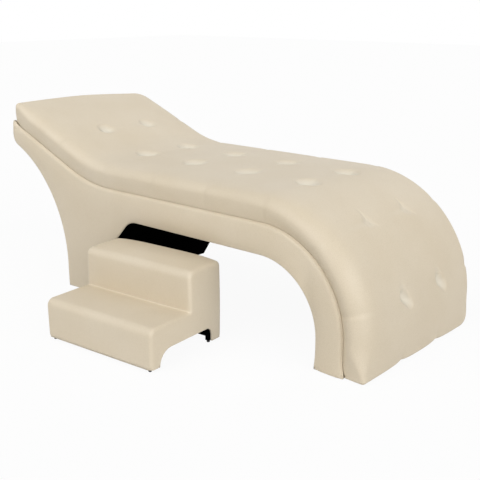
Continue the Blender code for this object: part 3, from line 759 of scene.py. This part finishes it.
def seat_creases(n):
    """The creases beside one tuft of the seat, which swing a little from tuft to tuft."""
    turned = []
    for k, (way, *size) in enumerate(SEAT_CREASES):
        swing = SEAT_CREASE_SWING * noise.noise((n * 3.1, k * 1.7, 0.5))
        turned.append((way + swing, *size))
    return turned


def tuft_fall(s, y):
    """How far the tufts pull the cover down: bowls on the seat, creases and pockets at the foot."""
    fall = 0
    for n, (row, column) in enumerate(tufts):
        along = s - row
        aside = y - column
        far = math.hypot(along, aside)
        if far > TUFT_FAR:
            continue
        line = n // 2
        reach = TUFT_REACH[line]
        angle = math.atan2(aside, along)
        if line == TUFT_ROWS - 1:
            # On the upright foot the cover hangs in a pocket under the stitch, to its far side.
            reach += POCKET_REACH * math.exp(-(((angle - POCKET_WAY) / POCKET_SPREAD) ** 2))
            power = POCKET_POWER
            creases = FOOT_CREASES
        else:
            # Each stitch pulls towards the near side of the foot.
            # The rim is sharp there, and runs out softly on the other side.
            reach *= 1 + TUFT_WAVER * noise.noise((math.cos(angle) + 5 * n, math.sin(angle), 0.3))
            sharp = 0.5 + 0.5 * math.cos(angle - TUFT_PULL_WAY)
            reach *= SOFT_RIM - SHARP_RIM * sharp
            power = RIM_POWER - sharp
            creases = KNEE_CREASES if line == TUFT_ROWS - 2 else seat_creases(n)
        fall += TUFT_DEPTH[line] * max(0, 1 - (far / reach) ** 2) ** power
        for way, depth, length, width in creases:
            fall += depth * groove(along, aside, math.radians(way), length, width)
    return fall


def pleat_fall(s, y, level):
    """Pleats from each row over the shoulder and down the side, steep on their foot side."""
    fall = 0
    for line, row in enumerate(tuft_rows):
        along = s - row
        if abs(along) < PLEAT_REACH:
            width = PLEAT_WIDTH[0 if along < 0 else 1]
            pull = LAST_PLEAT if line == TUFT_ROWS - 1 else 1
            fall += pull * math.exp(-((along / width) ** 2))
    at_side = ease(abs(y), half_width - PLEAT_BAND[0], half_width - PLEAT_BAND[1])
    return fall * PLEAT_DEPTH * at_side * ease(level, *PLEAT_LEVELS)


def foot_pleat(s, y):
    """Pleats from the last tufts to the lower edge at the floor, where the cover is pulled under."""
    aside = abs(abs(y) - TUFT_OFFSET)
    at_floor = ease(s, mattress_length - FOOT_PLEAT_REACH, mattress_length)
    return math.exp(-aside / FOOT_PLEAT_WIDTH) * at_floor


def lip(s, side):
    """How far the cover hangs down over the edge of the deck at one side."""
    from_end = min(s, mattress_length - s)
    if from_end < LIP_START[side]:
        return 0
    return LIP[side] * min(1, from_end / LIP_GROWTH) ** LIP_POWER


def mattress_point(s, y, level):
    """A point of the cover: s along it, y across it, and level up its side, 1 on its upper face."""
    start = s
    from_end = min(s, mattress_length - s)
    from_side = half_width - abs(y)
    side = 0 if y < 0 else 1
    # The base fills its deck out to the corners; the upper face is pulled in further there.
    up = level**2
    radius = (HEAD_CORNER if s < half_length else FOOT_CORNER)[side]
    radius = BASE_CORNER + (radius - BASE_CORNER) * up
    corner_s = radius - from_end
    corner_y = radius - from_side
    gap = min(from_end, from_side)
    out_s = 0.0
    out_y = 0.0
    if from_end <= from_side:
        out_s = math.copysign(1, s - half_length)
    else:
        out_y = math.copysign(1, y)
    if corner_s > 0 and corner_y > 0:
        far = math.hypot(corner_s, corner_y)
        pull = max(corner_s, corner_y) / far
        out_s = math.copysign(corner_s / far, s - half_length)
        out_y = math.copysign(corner_y / far, y)
        s += math.copysign(corner_s * (1 - pull), half_length - s)
        y -= math.copysign(corner_y * (1 - pull), y)
    # The shoulder changes from the head over the seat to the knee, and runs out at both ends.
    share = ease(from_end, 0, END_REACH)
    end_edge = END_SHOULDER if s < half_length else FOOT_EDGE
    flat = ease(s, slope_length - NECK_BLEND, neck_end + NECK_BLEND)
    knee = ease(s, seat_end - KNEE_BLEND[0], seat_end + KNEE_BLEND[1])
    wide = HEAD_SHOULDER[side] + (SHOULDER[side] - HEAD_SHOULDER[side]) * flat
    wide += (KNEE_SHOULDER[side] - SHOULDER[side]) * knee
    tall = SHOULDER_RISE[side] + (KNEE_SHOULDER_RISE[side] - SHOULDER_RISE[side]) * knee
    shoulder = end_edge + (wide - end_edge) * share
    rise = end_edge + (tall - end_edge) * share
    crease = pleat_fall(s, y, level)
    puff = share if s > half_length else HEAD_CROWN + (1 - HEAD_CROWN) * share
    crown = CROWN * (1 - abs(y / half_width) ** CROWN_POWER) * puff - EDGE_DROP * share
    crown -= SIDE_SLOPE[side] * max(0, 1 - from_side / SLOPE_REACH) ** 2 * share
    # Round the knee its near side bulges, from a little above the deck.
    if level < 1:
        bulge = math.sin(math.pi / 2 * max(0, level - BULGE_START) / (1 - BULGE_START))
    else:
        bulge = ease(abs(y), BULGE_MIDDLE, half_width)
    bulge *= KNEE_BULGE * knee * ease(mattress_length - start, 0, BULGE_END) * (1 - side)
    thick = deck_place(s)[4]
    if level < 1 or gap <= 0:
        draw = END_DRAW_IN * out_s**2 + DRAW_IN * out_y**2
        draw = draw * (1 - math.sin(math.pi / 2 * level)) + crease
        foot = DECK_GAP - (lip(start, side) if from_side < SAME_POINT else 0)
        height = foot + (thick + crown - rise - foot) * level
    else:
        into = max(0, 1 - gap / shoulder)
        level_part = shoulder * math.sqrt(1 - into**2)
        draw = crease * rise * into / math.hypot(rise * into, level_part)
        height = thick - float(roll_fall(gap, shoulder, rise))
        height -= crease * level_part / math.hypot(rise * into, level_part)
        height += crown - tuft_fall(s, y) - FOOT_PLEAT_DEPTH * foot_pleat(s, y)
        lump = noise.noise((s * LUMP_SCALE, y * LUMP_SCALE, 4.2))
        height += LUMPS * lump * ease(gap, 0, LUMP_EDGE)
    at_floor = ease(s, mattress_length - FOOT_LIFT_REACH, mattress_length)
    lift = FOOT_PLEAT_LIFT * foot_pleat(s, y) * at_floor
    # The head end is pulled in a little towards its far corner.
    to_far = ease(y, HEAD_PULL_EDGE, half_width)
    s += HEAD_PULL * up * to_far * (1 - ease(s, 0, HEAD_PULL_REACH))
    x, z, way_x, way_z, _ = deck_place(min(max(s - out_s * draw, 0), mattress_length))
    y += SIDE_SHIFT - out_y * draw - bulge
    return seat_start + x + way_x * height, bed_middle + y, z + lift + way_z * height


columns = [half_width - TUFT_OFFSET, half_width + TUFT_OFFSET]
lengthwise = rounded_stops(mattress_length, END_SHOULDER, MATTRESS_MESH, TUFT_MESH, tuft_rows)
crosswise = rounded_stops(2 * half_width, SHOULDER[0], MATTRESS_MESH, TUFT_MESH, columns)
crosswise = [y - half_width for y in crosswise]
last_i = len(lengthwise) - 1
last_j = len(crosswise) - 1
index = {}


def corner(i, j, k):
    """The number of a corner of the net, given when it is first asked for.

    i counts along, j across and k up the side; -1 and -2 are the lip's inner edge.
    """
    return index.setdefault((i, j, k), len(index))


faces = []
for i in range(last_i):
    for j in range(last_j):
        square = ((i, j), (i + 1, j), (i + 1, j + 1), (i, j + 1))
        faces.append([corner(a, b, WALL_STEPS) for a, b in square])
    for k in range(WALL_STEPS):
        for j in (0, last_j):
            square = ((i, k), (i + 1, k), (i + 1, k + 1), (i, k + 1))
            faces.append([corner(a, j, b) for a, b in square])
    # Under it the lip at each side ends in an inner edge, and one strip closes the rest.
    inner = []
    for side, j in ((0, 0), (1, last_j)):
        hangs = [lip(lengthwise[a], side) > 0 for a in (i, i + 1)]
        outer = [corner(a, j, 0) for a in (i, i + 1)]
        low = [corner(a, j, -1) if h else None for a, h in zip((i, i + 1), hangs)]
        high = [corner(a, j, -2) if h else None for a, h in zip((i, i + 1), hangs)]
        if all(hangs):
            faces.append([outer[0], outer[1], low[1], low[0]])
            faces.append([low[0], low[1], high[1], high[0]])
        elif any(hangs):
            turn = hangs.index(True)
            ends = outer if turn else outer[::-1]
            faces.append([*ends, low[turn], high[turn]])
        inner.append([h if h is not None else o for h, o in zip(high, outer)])
    under = [inner[0][0], inner[1][0], inner[1][1], inner[0][1]]
    if i == 0:
        under = [corner(0, j, 0) for j in range(last_j + 1)] + [inner[1][1], inner[0][1]]
    if i == last_i - 1:
        under = [inner[0][0], inner[1][0]] + [corner(last_i, j, 0) for j in range(last_j, -1, -1)]
    faces.append(under)
for j in range(last_j):
    for k in range(WALL_STEPS):
        for i in (0, last_i):
            square = ((j, k), (j + 1, k), (j + 1, k + 1), (j, k + 1))
            faces.append([corner(i, a, b) for a, b in square])
points = []
for i, j, k in index:
    if k >= 0:
        points.append(mattress_point(lengthwise[i], crosswise[j], k / WALL_STEPS))
        continue
    x, z, way_x, way_z, _ = deck_place(lengthwise[i])
    height = DECK_GAP - (lip(lengthwise[i], 0 if j == 0 else 1) if k == -1 else 0)
    y = bed_middle + (-LIP_INSIDE if j == 0 else LIP_INSIDE)
    points.append((seat_start + x + way_x * height, y, z + way_z * height))
mattress = sewn("mattress_cover", points, faces)
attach(mattress, "bed")
# How deep each tuft pulls the top down; this sets the painted highlight in the tuft hollows.
pull = mattress.data.attributes.new("pull", "FLOAT", "POINT")
for n, (i, j, k) in enumerate(index):
    if k == WALL_STEPS:
        pull.data[n].value = min(1, tuft_fall(lengthwise[i], crosswise[j]) / PAINTED_SHEEN_FALL)
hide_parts("mattress")

# Stool boards: the inside of the two-step stool, butted and screwed.
# Plywood stained black, as its inside can be seen through the arched sides.
STOOL_BOARDS = (
    "stool_side_left",
    "stool_side_right",
    "stool_lower_riser",
    "stool_upper_riser",
    "stool_lower_tread",
    "stool_upper_tread",
    "stool_back",
)
stained, tree, shader = new_finish("black_stained_plywood", roughness=0.9, specular=0.0)
grain = speckle(tree, stretched(tree, (6, 80, 80)), scale=1.0, detail=5)
colour = tones(tree, grain, [(0.3, screen(3, 3, 3)), (0.7, screen(8, 8, 7))])
tree.links.new(colour, shader.inputs["Base Color"])
relief(tree, shader, grain, depth=0.0003, strength=0.4)
clad(STOOL_BOARDS, stained)

# Stool cover: thin foam and the same leather, glued on in one over both treads and all sides.
# It turns in round the arched cut-outs and under the lower edge, where it is stapled.
STOOL_WIDTH = 0.496
STOOL_DEPTH = 0.366
STOOL_HEIGHT = 0.293
STOOL_STEP_HEIGHT = 0.153
STOOL_TREAD_DEPTH = 0.198
STOOL_BOTTOM = 0.0115
STOOL_FRONT_LEG = 0.042
STOOL_REAR_LEG = 0.053
STOOL_ARCH_HEIGHT = 0.066
STOOL_ARCH_FRONT = 0.054
STOOL_ARCH_REAR = 0.030
STOOL_EDGE = 0.027
STOOL_BACK_EDGE = 0.016
STOOL_INNER_EDGE = 0.004
STOOL_EDGE_STEPS = 6
STOOL_CORNER = 0.013
STOOL_CORNER_STEPS = 5
STOOL_PAD = 0.0078
STOOL_THIN = 0.27
STOOL_THIN_BAND = (0.011, 0.022)
STOOL_YAW = math.radians(4.5)
STOOL_ALONG = 0.352
STOOL_STAND_OFF = 0.002
STOOL_MESH = 0.0095
STOOL_MERGE = 2e-5
STOOL_CROWN = 0.010
STOOL_CROWN_BAND = 0.05
STOOL_CROWN_REACH = 0.10
STOOL_TREAD_CROWN = 0.003
STOOL_TREAD_BAND = 0.03
STOOL_FULLNESS = 0.0025
STOOL_FULL_BAND = 0.02
BED_HALF_WIDTH = 0.358


def soft_corners(corners, step):
    """A line through (y, z, radius) corners, rounded where there is a radius, in steps of a length."""
    line = []
    for i, (y, z, radius) in enumerate(corners):
        here = Vector((y, z))
        if radius == 0:
            line.append(here)
            continue
        before = (Vector(corners[i - 1][:2]) - here).normalized()
        after = (Vector(corners[(i + 1) % len(corners)][:2]) - here).normalized()
        half_turn = before.angle(after) / 2
        reach = radius / math.tan(half_turn)
        centre = here + (before + after).normalized() * radius / math.sin(half_turn)
        first = here + before * reach - centre
        turn = first.angle_signed(here + after * reach - centre)
        for k in range(STOOL_EDGE_STEPS + 1):
            line.append(centre + Matrix.Rotation(-turn * k / STOOL_EDGE_STEPS, 2) @ first)
    filled = []
    for one, two in zip(line, line[1:]):
        count = max(1, round((two - one).length / step))
        filled += [one.lerp(two, k / count) for k in range(count)]
    filled.append(line[-1])
    return filled


front = -STOOL_DEPTH
step_y = front + STOOL_TREAD_DEPTH
stair_line = soft_corners(
    [
        (front, STOOL_BOTTOM, 0),
        (front, STOOL_STEP_HEIGHT, STOOL_EDGE),
        (step_y, STOOL_STEP_HEIGHT, STOOL_INNER_EDGE),
        (step_y, STOOL_HEIGHT, STOOL_EDGE),
        (0, STOOL_HEIGHT, STOOL_BACK_EDGE),
        (0, STOOL_BOTTOM, 0),
    ],
    STOOL_MESH,
)
arch_edge = soft_corners(
    [
        (0, STOOL_BOTTOM, 0),
        (-STOOL_REAR_LEG, STOOL_BOTTOM, 0),
        (-STOOL_REAR_LEG, STOOL_ARCH_HEIGHT, STOOL_ARCH_REAR),
        (front + STOOL_FRONT_LEG, STOOL_ARCH_HEIGHT, STOOL_ARCH_FRONT),
        (front + STOOL_FRONT_LEG, STOOL_BOTTOM, 0),
        (front, STOOL_BOTTOM, 0),
    ],
    STOOL_MESH,
)
stool_half = STOOL_WIDTH / 2
stair_count = len(stair_line)
loop = np.array([tuple(p) for p in stair_line + arch_edge[1:-1]])[::-1]
steps = range(1, STOOL_CORNER_STEPS + 1)
rings = [STOOL_CORNER * (1 - math.cos(math.pi / 2 * k / STOOL_CORNER_STEPS)) for k in steps]
flat, triangles = face_net(loop, [], STOOL_MESH, rings)
stair = np.array([tuple(p) for p in stair_line])
gap = edge_distance(flat, stair[:-1], stair[1:])
depth = stool_half - roll_fall(gap, STOOL_CORNER, STOOL_CORNER)
strip_half = stool_half - STOOL_CORNER
strip_count = round(2 * strip_half / STOOL_MESH)
points = []
faces = []
for sign in (-1, 1):
    base = len(points)
    points += [(sign * d, p[0], p[1]) for d, p in zip(depth, flat)]
    faces += [[base + v for v in face] for face in triangles]
base = len(points)
columns = [-strip_half + 2 * strip_half * k / strip_count for k in range(strip_count + 1)]
for x in columns:
    points += [(x, p[0], p[1]) for p in stair]
for k in range(strip_count):
    for i in range(stair_count - 1):
        one = base + k * stair_count + i
        faces.append([one, one + 1, one + 1 + stair_count, one + stair_count])
stool = sewn("stool_cover", points, faces, STOOL_MERGE)
foam = stool.vertex_groups.new(name="foam")
board_edges = ((front, STOOL_STEP_HEIGHT), (step_y, STOOL_HEIGHT), (0, STOOL_HEIGHT))
for vertex in stool.data.vertices:
    x, y, z = vertex.co
    # The foam thins over the edges of the boards.
    from_edge = min(math.hypot(y - edge_y, z - edge_z) for edge_y, edge_z in board_edges)
    foam.add([vertex.index], ease(from_edge, *STOOL_THIN_BAND), "REPLACE")
    # It stands highest at the middle of the upper tread, and fills each face a little.
    middle = 1 - (x / stool_half) ** 4
    upper = ease(y, step_y, step_y + STOOL_CROWN_REACH)
    on_tread = math.sin(math.pi * min(1, (y - front) / STOOL_TREAD_DEPTH))
    crown = STOOL_CROWN * upper * ease(z, STOOL_HEIGHT - STOOL_CROWN_BAND, STOOL_HEIGHT)
    crown += STOOL_TREAD_CROWN * (1 - upper) * on_tread
    full = math.sin(math.pi * min(1, max(0, z / STOOL_HEIGHT)))
    at_side = ease(abs(x), stool_half - STOOL_FULL_BAND, stool_half)
    at_front = ease(-y, -step_y - STOOL_FULL_BAND, -step_y)
    vertex.co.z += crown * middle * ease(z, STOOL_STEP_HEIGHT - STOOL_TREAD_BAND, STOOL_STEP_HEIGHT)
    vertex.co.x += math.copysign(STOOL_FULLNESS, x) * full * at_side
    vertex.co.y -= STOOL_FULLNESS * middle * full * at_front
stool_x = seat_start + STOOL_ALONG
stool_y = bed_middle - BED_HALF_WIDTH - STOOL_STAND_OFF - stool_half * math.sin(STOOL_YAW)
place = Matrix.Translation((stool_x, stool_y, 0))
stool.data.transform(place @ Matrix.Rotation(STOOL_YAW, 4, "Z"))
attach(stool, "stool")
thickness = stool.modifiers.new("thickness", "SOLIDIFY")
thickness.thickness = STOOL_PAD
thickness.offset = -1
thickness.vertex_group = "foam"
thickness.thickness_vertex_group = STOOL_THIN
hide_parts("stool_step_pad", "stool_side_pad_left", "stool_side_pad_right")

# Studio: a plain pale floor under soft light, not part of the bed.
# Five broad lamps shine from far off, and a small one low beside the stool, where the bed gives shade.
# The camera stands where the photograph was taken from, about 3.4 m off at chest height.
FLOOR_HALF = 20
FLOOR_GREY = (0.75, 0.75, 0.75, 1)
FLOOR_GLOW = 0.94
SKY_LIGHT = 0.30
WHITE = (1, 1, 1, 1)
LAMPS = {
    "front": ((-0.1, -0.7, 0.7), 1.36),
    "right": ((0.9, -0.1, 0.42), 1.05),
    "low": ((0.85, -0.5, 0.2), 0.75),
    "left": ((-0.5, -0.3, 0.8), 0.22),
    "behind": ((-0.1, 0.65, 0.75), 0.27),
}
LAMP_SPREAD = math.radians(50)
FILL_POWER = 0.16
FILL_SIZE = 0.25
FILL_PLACE = (0.97, -0.52, 0.20)
FILL_WAY = (1, -0.1, 0.1)
CAMERA_PLACE = (2.4266, -2.3488, 1.1556)
CAMERA_TILT = math.radians(73.75)
CAMERA_TURN = math.radians(41.146)

floor_mesh = bpy.data.meshes.new("floor")
floor_corners = [(x * FLOOR_HALF, y * FLOOR_HALF, 0) for x, y in ((-1, -1), (1, -1), (1, 1), (-1, 1))]
floor_mesh.from_pydata(floor_corners, [], [(0, 1, 2, 3)])
floor = bpy.data.objects.new("floor", floor_mesh)
bpy.context.scene.collection.objects.link(floor)


def seen_straight(tree):
    """1 for what the camera sees, by itself or mirrored in the object, and 0 for other light."""
    path = add(tree, "ShaderNodeLightPath")
    seen = path.outputs["Is Camera Ray"]
    for other in ("Is Glossy Ray", "Is Transmission Ray"):
        either = add(tree, "ShaderNodeMath", operation="MAXIMUM")
        tree.links.new(seen, either.inputs[0])
        tree.links.new(path.outputs[other], either.inputs[1])
        seen = either.outputs["Value"]
    return seen


paper, tree, shader = new_finish("white_paper", roughness=1.0, specular=0.0)
shader.inputs["Base Color"].default_value = FLOOR_GREY
glow = add(tree, "ShaderNodeEmission", {"Color": WHITE, "Strength": 1.0})
mix = add(tree, "ShaderNodeMixShader")
tree.links.new(between(tree, seen_straight(tree), 0, FLOOR_GLOW), mix.inputs["Fac"])
tree.links.new(shader.outputs["BSDF"], mix.inputs[1])
tree.links.new(glow.outputs["Emission"], mix.inputs[2])
tree.links.new(mix.outputs["Shader"], tree.nodes["Material Output"].inputs["Surface"])
floor_mesh.materials.append(paper)

world = bpy.data.worlds.new("studio")
bpy.context.scene.world = world
world.use_nodes = True
tree = world.node_tree
sky = tree.nodes["Background"]
sky.inputs["Color"].default_value = WHITE
sky.inputs["Strength"].default_value = SKY_LIGHT
white = add(tree, "ShaderNodeBackground", {"Color": WHITE, "Strength": 1.0})
mix = add(tree, "ShaderNodeMixShader")
tree.links.new(seen_straight(tree), mix.inputs["Fac"])
tree.links.new(sky.outputs["Background"], mix.inputs[1])
tree.links.new(white.outputs["Background"], mix.inputs[2])
tree.links.new(mix.outputs["Shader"], tree.nodes["World Output"].inputs["Surface"])

for name, (way, strength) in LAMPS.items():
    lamp = bpy.data.lights.new(name, "SUN")
    lamp.energy = strength
    lamp.angle = LAMP_SPREAD
    light = bpy.data.objects.new(name, lamp)
    light.rotation_euler = Vector(way).to_track_quat("Z", "Y").to_euler()
    bpy.context.scene.collection.objects.link(light)

fill = bpy.data.lights.new("fill", "AREA")
fill.energy = FILL_POWER
fill.size = FILL_SIZE
light = bpy.data.objects.new("fill", fill)
light.location = (seat_start + FILL_PLACE[0], bed_middle + FILL_PLACE[1], FILL_PLACE[2])
light.rotation_euler = Vector(FILL_WAY).to_track_quat("Z", "Y").to_euler()
light.visible_camera = False
light.visible_glossy = False
bpy.context.scene.collection.objects.link(light)

lens = bpy.data.cameras.new("camera")
lens.sensor_width = 36
lens.lens = 61.131
camera = bpy.data.objects.new("camera", lens)
camera.location = (seat_start + CAMERA_PLACE[0], bed_middle + CAMERA_PLACE[1], CAMERA_PLACE[2])
camera.rotation_euler = (CAMERA_TILT, 0, CAMERA_TURN)
bpy.context.scene.collection.objects.link(camera)
bpy.context.scene.camera = camera
bpy.context.scene.view_settings.view_transform = "Standard"
